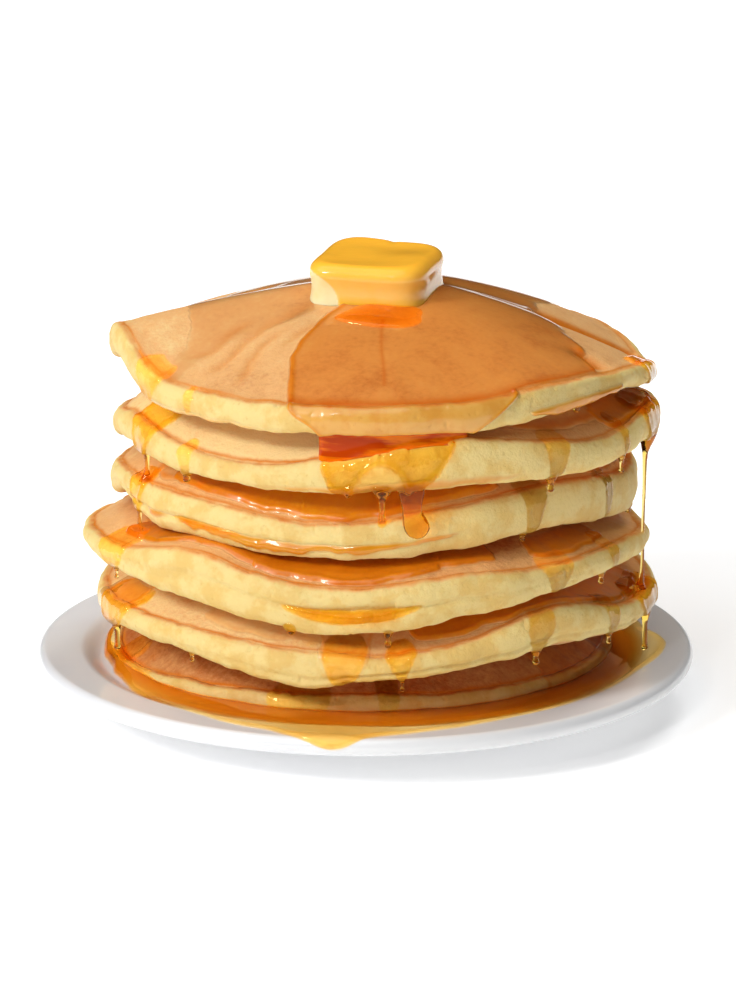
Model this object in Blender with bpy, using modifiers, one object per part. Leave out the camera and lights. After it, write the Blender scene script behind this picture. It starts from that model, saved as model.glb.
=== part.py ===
"""A stack of six pancakes with a pat of butter, standing in a pool of syrup on a round plate.

Lengths are in metres and +Z is up. The plate's foot stands on z = 0, with its axis on the Z axis,
and the front of the stack faces -Y. Angles run anticlockwise from +X, in degrees.
"""

import math

import bmesh
import bpy
from mathutils import Matrix, Vector

MM = 0.001
FIT_GAP = 0.3 * MM  # left between neighbours that touch
COLLECTION = "pancake_stack"

# Plate, from its axis outwards
PLATE_RADIUS = 100 * MM
PLATE_HEIGHT = 16 * MM
PLATE_STEPS = 64
LIP_THICKNESS = 5.2 * MM
RIM_INNER_RADIUS = 87.5 * MM
RIM_INNER_HEIGHT = 15.5 * MM
WELL_RADIUS = 80 * MM
WELL_HEIGHT = 12.5 * MM
WELL_THICKNESS = 5 * MM
FOOT_RADIUS = 60 * MM
FOOT_WIDTH = 5 * MM

# Syrup pool round the bottom pancake
POOL_LEVEL = 15.3 * MM
POOL_RADIUS = 85.5 * MM

# Pancakes, bottom to top. crust and base are the heights of the upper and lower edges of the
# side. Each bump is (direction, width in degrees, rise of the upper edge, rise of the lower edge).
PANCAKE_STEPS = 48
EDGE_INSET = 1.5 * MM  # how far the crust's edge lies inside the widest part of the side
PANCAKES = (
    {
        "name": "pancake_1", "centre": (-0.9, 4), "radius": 75.3, "stretch": 0.024, "skew": 0.0,
        "trefoil": 0.004, "seat": 12.8, "crust": 17.3, "base": 12.8,
        "bumps": ((194, 12, -2.5, 0), (270, 24, 2.0, 0)),
    },
    {
        "name": "pancake_2", "centre": (3.6, 0), "radius": 84.8, "stretch": 0.007, "skew": 0.006,
        "trefoil": -0.008, "seat": 31.0, "crust": 37.4, "base": 30.8,
        "bumps": ((222, 14, 1.3, 0.3), (254, 11, 0, -5.2), (267, 13, -2.0, 0), (282, 12, 0, -1.8),
                  (309, 12, 7.8, 2.8), (130, 25, -2.0, -1.0)),
    },
    {
        "name": "pancake_3", "centre": (0.2, -1), "radius": 85.2, "stretch": 0.012, "skew": -0.008,
        "trefoil": -0.006, "seat": 50.0, "crust": 57.7, "base": 49.5,
        "bumps": ((192, 11, -0.4, 2.0), (231, 10, 5.6, 0), (265, 20, -1.5, -7.0), (288, 9, 2.2, 0),
                  (330, 15, 0.8, 2.0), (8, 15, -5.5, -1.5), (156, 20, -6.0, -4.0)),
    },
    {
        "name": "pancake_4", "centre": (3.2, 1), "radius": 79.8, "stretch": 0.006, "skew": 0.010,
        "trefoil": 0.010, "seat": 69.5, "crust": 75.3, "base": 63.0,
        "bumps": ((197, 9, 0.5, 6.0), (224, 12, 1.2, 0), (258, 14, -2.0, 0), (309, 17, 5.2, 4.3),
                  (351, 12, -0.5, -1.5), (8, 12, -2.5, 0), (155, 22, -4.5, -2.0)),
    },
    {
        "name": "pancake_5", "centre": (6.6, 0), "radius": 82.3, "stretch": 0.006, "skew": -0.006,
        "trefoil": -0.008, "seat": 91.0, "crust": 90.5, "base": 82.8,
        "bumps": ((200, 11, 4.5, 3.5), (237, 8, -1.0, 0), (286, 19, 8.5, 2.2), (343, 15, 4.5, 3.5),
                  (158, 20, -3.5, -3.0)),
    },
    {
        "name": "pancake_6", "centre": (5.0, -1), "radius": 82.1, "stretch": 0.006, "skew": 0.008,
        "trefoil": 0.008, "seat": 111.5, "crust": 109.2, "base": 101.3,
        "bumps": ((193, 11, 10.5, 8.5), (312, 14, 2.4, 0.5), (328, 14, 0, 3.0), (10, 13, -7.0, -4.0),
                  (55, 35, -2.0, -1.0)),
    },
)
APEX_HEIGHT = 130 * MM  # middle of the top pancake's crust
DOME_POWER = 1.5  # how the top pancake falls from its middle: 1 is a cone, 2 is round
SEAM_RADIUS = 85 * MM
UPPER_CONTACT = 0.60  # part of the radius out to which a pancake carries the one above
LOWER_CONTACT = 0.70  # part of the radius out to which a pancake lies on the one below

# Butter
BUTTER_SIZE = (35.5 * MM, 37 * MM)
BUTTER_CENTRE = (3.3 * MM, -7.5 * MM)
BUTTER_TOP = 138.2 * MM
BUTTER_LEAN = 0.045  # fall of its top towards the front, per unit of depth
BUTTER_YAW = -12
BUTTER_CORNER = 6.5 * MM
BUTTER_CUTS = 6


def clear_scene():
    """Remove every object that the file starts with."""
    for item in list(bpy.data.objects):
        bpy.data.objects.remove(item, do_unlink=True)


def make_material(name, colour, roughness):
    """A Principled material of one colour."""
    material = bpy.data.materials.new(name)
    material.use_nodes = True
    shader = material.node_tree.nodes["Principled BSDF"]
    shader.inputs["Base Color"].default_value = (*colour, 1)
    shader.inputs["Roughness"].default_value = roughness
    shader.inputs["Metallic"].default_value = 0
    return material


def add_object(name, mesh, material, collection):
    """Put a mesh into the collection as one smooth-shaded part."""
    part = bpy.data.objects.new(name, mesh)
    mesh.materials.append(material)
    mesh.shade_smooth()
    mesh.set_sharp_from_angle(angle=math.radians(50))
    collection.objects.link(part)
    return part


def turned_mesh(name, profile, steps, closed=False):
    """Turn a profile of (radius, height) about Z. It runs down the outer side."""
    mesh = bpy.data.meshes.new(name)
    points = [(radius, 0, height) for radius, height in profile]
    edges = [(i, i + 1) for i in range(len(points) - 1)]
    if closed:
        edges.append((len(points) - 1, 0))
    mesh.from_pydata(points, edges, [])
    guide = bpy.data.objects.new(name + "_guide", mesh)
    bpy.context.scene.collection.objects.link(guide)
    screw = guide.modifiers.new("turn", "SCREW")
    screw.steps = screw.render_steps = steps
    screw.use_merge_vertices = True
    screw.merge_threshold = 0.01 * MM
    evaluated = guide.evaluated_get(bpy.context.evaluated_depsgraph_get())
    turned = bpy.data.meshes.new_from_object(evaluated)
    turned.name = name
    bpy.data.objects.remove(guide)
    bpy.data.meshes.remove(mesh)
    return turned


def bell(turn, direction, width):
    """Bell curve of the angle between turn and direction, 1 in the middle."""
    apart = (turn - direction + 180) % 360 - 180
    return math.exp(-0.5 * (apart / width) ** 2)


def edge_height(cake, turn, edge):
    """Height of a pancake's upper ("crust") or lower ("base") edge in one direction."""
    rise = 2 if edge == "crust" else 3
    height = cake[edge] + sum(bump[rise] * bell(turn, bump[0], bump[1]) for bump in cake["bumps"])
    return height * MM


def outline_radius(cake, turn):
    """Radius of a pancake's widest outline in one direction."""
    angle = math.radians(turn)
    uneven = (cake["stretch"] * math.cos(2 * angle) + cake["skew"] * math.sin(2 * angle)
              + cake["trefoil"] * math.sin(3 * angle))
    return cake["radius"] * (1 + uneven) * MM


def seam_height(number, x, y):
    """Height of the surface on which a pancake lies: a bowl turned over, whose rim runs halfway
    between the crust's edge below it and the base's edge above it. The bottom one lies flat.
    """
    cake = PANCAKES[number]
    middle = cake["seat"] * MM
    if number == 0:
        return middle
    turn = math.degrees(math.atan2(y, x))
    rim = (edge_height(PANCAKES[number - 1], turn, "crust") + edge_height(cake, turn, "base")) / 2
    return middle + (rim - middle) * (x * x + y * y) / SEAM_RADIUS**2


def dome_height(x, y):
    """Height of the top pancake's crust, which falls from its middle to its edge."""
    cake = PANCAKES[-1]
    across = x - cake["centre"][0] * MM
    along = y - cake["centre"][1] * MM
    turn = math.degrees(math.atan2(along, across))
    part = min(math.hypot(across, along) / (outline_radius(cake, turn) - EDGE_INSET), 1)
    edge = edge_height(cake, turn, "crust")
    return edge + (APEX_HEIGHT - edge) * (1 - part**DOME_POWER)


def pancake_point(number, part, turn, level):
    """Place one vertex. part is its share of the way out, and level is 1 on the crust, -1 on the
    underside and between them on the side. Neither face crosses the surface shared with the next
    pancake: it leaves that surface near the edge, ever more steeply, to reach the edge's height.
    """
    cake = PANCAKES[number]
    topmost = number == len(PANCAKES) - 1
    angle = math.radians(turn)
    widest = outline_radius(cake, turn)
    out = Vector((math.cos(angle), math.sin(angle)))
    centre = Vector(cake["centre"]) * MM
    rim = centre + out * (widest - EDGE_INSET)
    floor = seam_height(number, *rim)
    base = max(edge_height(cake, turn, "base"), floor)
    crust = edge_height(cake, turn, "crust")
    if not topmost:
        ceiling = seam_height(number + 1, *rim) - FIT_GAP
        crust = min(crust, ceiling)

    if part >= 1:
        place = centre + out * (widest - EDGE_INSET * level * level)
        height = base + (crust - base) * (level + 1) / 2
        return Vector((*place, height))
    place = centre + out * (widest - EDGE_INSET) * part
    if level < 0:
        share = max(part - LOWER_CONTACT, 0) / (1 - LOWER_CONTACT)
        return Vector((*place, seam_height(number, *place) + (base - floor) * share**2))
    if topmost:
        return Vector((*place, dome_height(*place)))
    share = max(part - UPPER_CONTACT, 0) / (1 - UPPER_CONTACT)
    height = seam_height(number + 1, *place) - FIT_GAP - (ceiling - crust) * share**2
    return Vector((*place, height))


def make_pancake(number, material, collection):
    """A disc turned with its crust at height 1 and its underside at -1, then shaped."""
    rings = ((0, 1), (0.30, 1), (0.60, 1), (0.82, 1), (1, 1), (1, 0.5), (1, -0.5), (1, -1),
             (0.82, -1), (0.60, -1), (0.30, -1), (0, -1))
    mesh = turned_mesh(PANCAKES[number]["name"], rings, PANCAKE_STEPS)
    for vertex in mesh.vertices:
        x, y, level = vertex.co
        part = min(math.hypot(x, y), 1)
        if part > 0.999:
            part = 1
        vertex.co = pancake_point(number, part, math.degrees(math.atan2(y, x)), level)
    add_object(PANCAKES[number]["name"], mesh, material, collection)


def make_plate(material, collection):
    """A flat-rimmed plate: shallow well, slightly rising rim, round lip and a foot ring."""
    lip_middle = PLATE_HEIGHT - LIP_THICKNESS / 2
    lip_low = PLATE_HEIGHT - LIP_THICKNESS
    foot_inner = FOOT_RADIUS - FOOT_WIDTH
    foot_top = WELL_HEIGHT - WELL_THICKNESS - 1 * MM
    round_off = 0.6 * MM
    profile = [
        (0, WELL_HEIGHT),
        (WELL_RADIUS, WELL_HEIGHT),
        (WELL_RADIUS + 3.5 * MM, WELL_HEIGHT + 0.8 * MM),
        (RIM_INNER_RADIUS, RIM_INNER_HEIGHT),
        (PLATE_RADIUS - 2.4 * MM, PLATE_HEIGHT),
    ]
    for step in range(1, 5):  # the lip, a quarter turn over and a quarter turn under
        angle = math.radians(90 - 45 * step)
        profile.append((PLATE_RADIUS - 2.4 * MM + 2.4 * MM * math.cos(angle),
                        lip_middle + LIP_THICKNESS / 2 * math.sin(angle)))
    profile += [
        (RIM_INNER_RADIUS, lip_low - 0.9 * MM),
        (WELL_RADIUS - 4 * MM, WELL_HEIGHT - WELL_THICKNESS),
        (FOOT_RADIUS + 1 * MM, foot_top),
        (FOOT_RADIUS, round_off),
        (FOOT_RADIUS - round_off, 0),
        (foot_inner + round_off, 0),
        (foot_inner, round_off),
        (foot_inner - 1 * MM, foot_top),
        (0, foot_top + 0.5 * MM),
    ]
    add_object("plate", turned_mesh("plate", profile, PLATE_STEPS), material, collection)


def make_pool(material, collection):
    """A ring of syrup between the bottom pancake's side and the rise of the plate's well."""
    floor = WELL_HEIGHT + FIT_GAP
    profile = (
        (0, POOL_LEVEL),
        (0.5 * MM, POOL_LEVEL),
        (1 * MM, POOL_LEVEL),
        (1 * MM, floor + (RIM_INNER_HEIGHT - WELL_HEIGHT) * 0.62),
        (0.5 * MM, floor),
        (0, floor),
    )
    # Turned on a radius of 10 mm first, so that the share of the way out can be read back.
    start = 10 * MM
    mesh = turned_mesh("syrup_pool", [(start + r, z) for r, z in profile], PLATE_STEPS, closed=True)
    cake = PANCAKES[0]
    for vertex in mesh.vertices:
        x, y, z = vertex.co
        turn = math.degrees(math.atan2(y, x))
        share = (math.hypot(x, y) - start) / (1 * MM)
        angle = math.radians(turn)
        out = Vector((math.cos(angle), math.sin(angle)))
        inner = Vector(cake["centre"]) * MM + out * (outline_radius(cake, turn) + FIT_GAP)
        if share < 0.25:
            place = inner
        elif share < 0.75:
            place = out * WELL_RADIUS
        else:
            place = out * POOL_RADIUS
        vertex.co = (place.x, place.y, z)
    add_object("syrup_pool", mesh, material, collection)


def make_butter(material, collection):
    """A pat with round corners, whose underside follows the dome of the top pancake."""
    model = bmesh.new()
    bmesh.ops.create_cube(model, size=1)
    bmesh.ops.subdivide_edges(model, edges=model.edges[:], cuts=BUTTER_CUTS, use_grid_fill=True)
    turn = Matrix.Rotation(math.radians(BUTTER_YAW), 2)
    half = Vector(BUTTER_SIZE) / 2
    for vertex in model.verts:
        # Keep the distance from a core box, so that the upright edges become arcs.
        flat = Vector((vertex.co.x * BUTTER_SIZE[0], vertex.co.y * BUTTER_SIZE[1]))
        core = Vector(max(-h + BUTTER_CORNER, min(h - BUTTER_CORNER, f)) for f, h in zip(flat, half))
        reach = flat - core
        ring = max(abs(reach.x), abs(reach.y))
        if reach.length > 0:
            flat = core + reach.normalized() * ring
        level = vertex.co.z + 0.5
        edge_share = ring / BUTTER_CORNER if level > 0.99 else 0
        flat *= 1 - 0.05 * max(level - 0.5, 0)
        place = turn @ flat + Vector(BUTTER_CENTRE)
        top = BUTTER_TOP + BUTTER_LEAN * (place.y - BUTTER_CENTRE[1]) - 1.8 * MM * edge_share**3
        low = dome_height(place.x, place.y) + FIT_GAP
        vertex.co = (place.x, place.y, low + (top - low) * level)
    mesh = bpy.data.meshes.new("butter")
    model.to_mesh(mesh)
    model.free()
    add_object("butter", mesh, material, collection)


def main():
    clear_scene()
    collection = bpy.data.collections.new(COLLECTION)
    bpy.context.scene.collection.children.link(collection)
    china = make_material("white_china", (0.86, 0.87, 0.87), 0.12)
    crumb = make_material("pancake_crumb", (0.83, 0.55, 0.22), 0.55)
    syrup = make_material("amber_syrup", (0.72, 0.28, 0.02), 0.05)
    butter = make_material("soft_butter", (0.95, 0.78, 0.38), 0.3)
    make_plate(china, collection)
    make_pool(syrup, collection)
    for number in range(len(PANCAKES)):
        make_pancake(number, crumb, collection)
    make_butter(butter, collection)


main()
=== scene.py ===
# Six griddle pancakes with butter and syrup on a white plate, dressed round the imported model.
# Shapes are worked out in millimetres and turned into metres when a mesh is made.
import math

import bpy
import numpy as np
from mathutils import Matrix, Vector


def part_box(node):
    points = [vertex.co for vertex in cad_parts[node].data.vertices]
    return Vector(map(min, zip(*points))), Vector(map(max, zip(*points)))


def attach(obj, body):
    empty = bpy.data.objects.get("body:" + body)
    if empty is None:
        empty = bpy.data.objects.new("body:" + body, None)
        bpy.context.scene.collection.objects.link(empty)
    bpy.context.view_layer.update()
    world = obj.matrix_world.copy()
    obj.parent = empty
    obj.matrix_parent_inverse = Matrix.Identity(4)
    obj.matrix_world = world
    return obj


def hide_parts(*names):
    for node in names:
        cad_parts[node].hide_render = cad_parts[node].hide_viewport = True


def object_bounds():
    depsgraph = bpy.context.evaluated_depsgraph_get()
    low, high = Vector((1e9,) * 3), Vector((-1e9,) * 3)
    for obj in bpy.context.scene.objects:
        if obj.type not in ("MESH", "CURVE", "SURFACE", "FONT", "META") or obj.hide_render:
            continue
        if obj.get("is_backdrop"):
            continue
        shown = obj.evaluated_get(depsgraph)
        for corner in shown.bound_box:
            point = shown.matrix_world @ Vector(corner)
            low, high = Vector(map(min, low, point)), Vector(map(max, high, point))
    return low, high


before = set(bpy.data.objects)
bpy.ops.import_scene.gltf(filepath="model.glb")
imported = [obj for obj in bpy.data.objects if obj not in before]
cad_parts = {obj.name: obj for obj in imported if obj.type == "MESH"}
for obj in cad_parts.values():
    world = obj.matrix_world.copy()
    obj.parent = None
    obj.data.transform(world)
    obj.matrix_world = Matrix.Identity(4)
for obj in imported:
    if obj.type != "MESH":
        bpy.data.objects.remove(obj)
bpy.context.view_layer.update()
mm = 0.001
fullTurn = 360
frontward = 270  # the direction of the front


def nodeBox(node):
    # a node's lowest and highest corner in millimetres
    low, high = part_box(node)
    return np.array(low) / mm, np.array(high) / mm


def mix(a, b, share):
    # from a to b in a straight line
    return a + (b - a) * share


def smooth(value, start, end):
    # 0 before start and 1 after end, with a soft S between them
    share = np.clip((value - start) / (end - start), 0, 1)
    return share * share * (3 - 2 * share)


def apart(turn, direction):
    # degrees from direction to turn, from -180 to 180
    return (turn - direction + fullTurn / 2) % fullTurn - fullTurn / 2


def bell(turn, direction, width):
    # a bell curve of the angle between turn and direction, 1 in the middle
    return np.exp(-0.5 * (apart(turn, direction) / width) ** 2)


scatter = (374761393, 668265263, 1440662683, 974634777, 1274126177)  # large odd numbers, for mixing


def cellValue(x, y, z, seed):
    # a repeatable number from -1 to 1 for each whole cell, by mixing its three counts in 32 bits
    mixed = (x * scatter[0] + y * scatter[1] + z * scatter[2] + seed * scatter[3]) & 0xFFFFFFFF
    mixed = ((mixed ^ (mixed >> 13)) * scatter[4]) & 0xFFFFFFFF
    return ((mixed ^ (mixed >> 16)) & 0xFFFF) / 32767.5 - 1


def noise(x, y, z, size, seed):
    # smooth noise from -1 to 1: the eight corners of each cell, blended along all three axes
    cells = [np.floor(axis / size).astype(np.int64) for axis in (x, y, z)]
    parts = [axis / size - cell for axis, cell in zip((x, y, z), cells)]
    soft = [part * part * (3 - 2 * part) for part in parts]
    total = 0
    for dx in (0, 1):
        for dy in (0, 1):
            for dz in (0, 1):
                weight = (soft[0] if dx else 1 - soft[0]) * (soft[1] if dy else 1 - soft[1])
                weight = weight * (soft[2] if dz else 1 - soft[2])
                corner = cellValue(cells[0] + dx, cells[1] + dy, cells[2] + dz, seed)
                total = total + weight * corner
    return total


def layers(x, y, z, size, seed, count=3):
    # noise on itself, each layer half the size and half the height of the one before
    total = 0
    for layer in range(count):
        total = total + noise(x, y, z, size / 2**layer, seed + layer) / 2**layer
    return total


def gridParts(grid, poles=(True, True), wrapRows=False):
    # rows of rings: each ring closes on itself, the first and last end in a point or stay open, and
    # with wrapRows the last row joins the first
    rows, columns = grid.shape[:2]
    rings = grid[1 if poles[0] else 0:rows - 1 if poles[1] else rows]
    count = len(rings)
    column = np.arange(columns)
    after = (column + 1) % columns
    ring = np.arange(count if wrapRows else count - 1)[:, None]
    below = (ring + 1) % count
    quads = np.stack([ring * columns + column, below * columns + column, below * columns + after,
                      ring * columns + after], -1).reshape(-1, 4)
    verts, fans = [rings.reshape(-1, 3)], [np.zeros((0, 3), int)]
    spare = count * columns
    for used, row, edge, flip in ((poles[0], 0, 0, False), (poles[1], -1, count - 1, True)):
        if used:
            verts.append(grid[row].mean(0)[None])
            corners = [np.full(columns, spare), edge * columns + column, edge * columns + after]
            fans.append(np.stack([corners[0], corners[2], corners[1]] if flip else corners, -1))
            spare += 1
    return np.concatenate(verts), quads, np.concatenate(fans)


def gridMesh(name, *parts, attributes=None):
    # one mesh of several parts; an attribute has a number for each place of the one grid with poles
    starts = np.cumsum([0] + [len(part[0]) for part in parts])
    verts = np.concatenate([part[0] for part in parts]) * mm
    quads = np.concatenate([part[1] + start for part, start in zip(parts, starts)])
    fans = np.concatenate([part[2] + start for part, start in zip(parts, starts)])
    mesh = bpy.data.meshes.new(name)
    mesh.vertices.add(len(verts))
    mesh.vertices.foreach_set("co", verts.astype(np.float32).ravel())
    mesh.loops.add(quads.size + fans.size)
    corners = np.concatenate([quads.ravel(), fans.ravel()]).astype(np.int32)
    mesh.loops.foreach_set("vertex_index", corners)
    sizes = np.concatenate([np.full(len(quads), 4), np.full(len(fans), 3)])
    mesh.polygons.add(len(sizes))
    mesh.polygons.foreach_set("loop_start", (np.cumsum(sizes) - sizes).astype(np.int32))
    mesh.update(calc_edges=True)
    mesh.shade_smooth()
    for key, value in (attributes or {}).items():
        rings = value[1:-1].ravel()
        values = np.concatenate([rings, [value[0].mean()], [value[-1].mean()]]).astype(np.float32)
        mesh.attributes.new(key, "FLOAT", "POINT").data.foreach_set("value", values)
    return mesh


def blended(mesh, grain, rounds):
    # closed parts that overlap become one skin, in steps of grain, then softened in rounds
    holder = bpy.data.objects.new(mesh.name + "_parts", mesh)
    bpy.context.scene.collection.objects.link(holder)
    remesh = holder.modifiers.new("join", "REMESH")
    remesh.mode = "VOXEL"
    remesh.voxel_size = grain * mm
    remesh.use_smooth_shade = True
    soften = holder.modifiers.new("soften", "SMOOTH")
    soften.factor = 0.5
    soften.iterations = rounds
    bpy.context.view_layer.update()
    settled = holder.evaluated_get(bpy.context.evaluated_depsgraph_get())
    joined = bpy.data.meshes.new_from_object(settled)
    bpy.data.objects.remove(holder)
    joined.name = mesh.name + "_joined"
    joined.shade_smooth()
    return joined


def normals(grid, closed=True):
    # unit outward directions: the cross product of the steps along a column and along a row, whose
    # ends may meet
    along = np.gradient(grid, axis=0)
    if closed:
        padded = np.concatenate([grid[:, -1:], grid, grid[:, :1]], 1)
        across = (padded[:, 2:] - padded[:, :-2]) / 2
    else:
        across = np.gradient(grid, axis=1)
    out = np.cross(along, across)
    tiny = 1e-6
    for row, beside in ((0, 1), (-1, -2)):
        if np.ptp(grid[row], axis=0).max() < tiny:
            out[row] = out[beside].mean(0)
    return out / np.maximum(np.linalg.norm(out, axis=2, keepdims=True), 1e-9)


def addPiece(name, mesh, material, slot, *nodes):
    # a finished piece with its material, and the nodes that it stands for; slot is not used
    piece = bpy.data.objects.new(name, mesh)
    bpy.context.scene.collection.objects.link(piece)
    mesh.materials.append(material)
    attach(piece, "root")
    if nodes:
        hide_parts(*nodes)


def feed(tree, slot, value):
    # links a value to a socket, or sets the number or colour that the socket holds
    if isinstance(value, Value):
        value = value.socket
    if isinstance(value, bpy.types.NodeSocket):
        tree.links.new(value, slot)
    else:
        slot.default_value = value


def addNode(tree, kind, settings, sockets):
    # a node: first its settings, then its sockets by name or by count
    node = tree.nodes.new(kind)
    for key, value in settings.items():
        setattr(node, key, value)
    for key, value in sockets.items():
        feed(tree, node.inputs[key], value)
    return node.outputs


class Value:
    # wraps a socket, so that an expression on values adds its Math nodes

    def __init__(self, tree, socket):
        self.tree = tree
        self.socket = socket

    def math(self, operation, *inputs):
        made = addNode(self.tree, "ShaderNodeMath", {"operation": operation}, dict(enumerate(inputs)))
        return Value(self.tree, made[0])

    def __add__(self, other):
        return self.math("ADD", self, other)

    def __sub__(self, other):
        return self.math("SUBTRACT", self, other)

    def __rsub__(self, other):
        return self.math("SUBTRACT", other, self)

    def __mul__(self, other):
        return self.math("MULTIPLY", self, other)

    __radd__ = __add__
    __rmul__ = __mul__

    def step(self, start, end):
        # 0 at start and 1 at end, softly
        made = addNode(self.tree, "ShaderNodeMapRange", {"interpolation_type": "SMOOTHSTEP"},
                       {"Value": self, "From Min": start, "From Max": end})
        return Value(self.tree, made["Result"])


class Finish:
    # one material and the ways of adding nodes to it

    def __init__(self, name):
        self.material = bpy.data.materials.new(name)
        self.material.use_nodes = True
        self.tree = self.material.node_tree
        self.shader = self.tree.nodes["Principled BSDF"]
        self.coords = self.node("ShaderNodeTexCoord")["Object"]

    def node(self, kind, settings=None, sockets=None):
        return addNode(self.tree, kind, settings or {}, sockets or {})

    def set(self, **sockets):
        for key, value in sockets.items():
            feed(self.tree, self.shader.inputs[key.replace("_", " ")], value)

    def attribute(self, name):
        return Value(self.tree, self.node("ShaderNodeAttribute", {"attribute_name": name})["Fac"])

    def speckle(self, scale, detail=2.0, roughness=0.5, stretch=None):
        coords = self.coords
        if stretch:
            coords = self.node("ShaderNodeMapping", {}, {"Vector": coords, "Scale": stretch})["Vector"]
        made = self.node("ShaderNodeTexNoise", {}, {"Vector": coords, "Scale": scale, "Detail": detail,
                                                    "Roughness": roughness})
        return Value(self.tree, made["Fac"])

    def colourMix(self, share, first, second, blend="MIX"):
        # sockets 6 and 7 and output 2 are the node's colours
        settings = {"data_type": "RGBA", "blend_type": blend, "clamp_factor": True}
        return self.node("ShaderNodeMix", settings, {"Factor": share, 6: first, 7: second})[2]

    def bump(self, height, distance, strength=1.0):
        made = self.node("ShaderNodeBump", {}, {"Height": height, "Distance": distance,
                                                "Strength": strength})
        self.set(Normal=made["Normal"])


def rgb(red, green, blue):
    # a colour as a screen shows it, from 0 to 255, made linear by the usual screen curve
    parts = [value / 255 for value in (red, green, blue)]
    return (*[p / 12.92 if p <= 0.04045 else ((p + 0.055) / 1.055) ** 2.4 for p in parts], 1)


print("pancakes")

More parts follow.
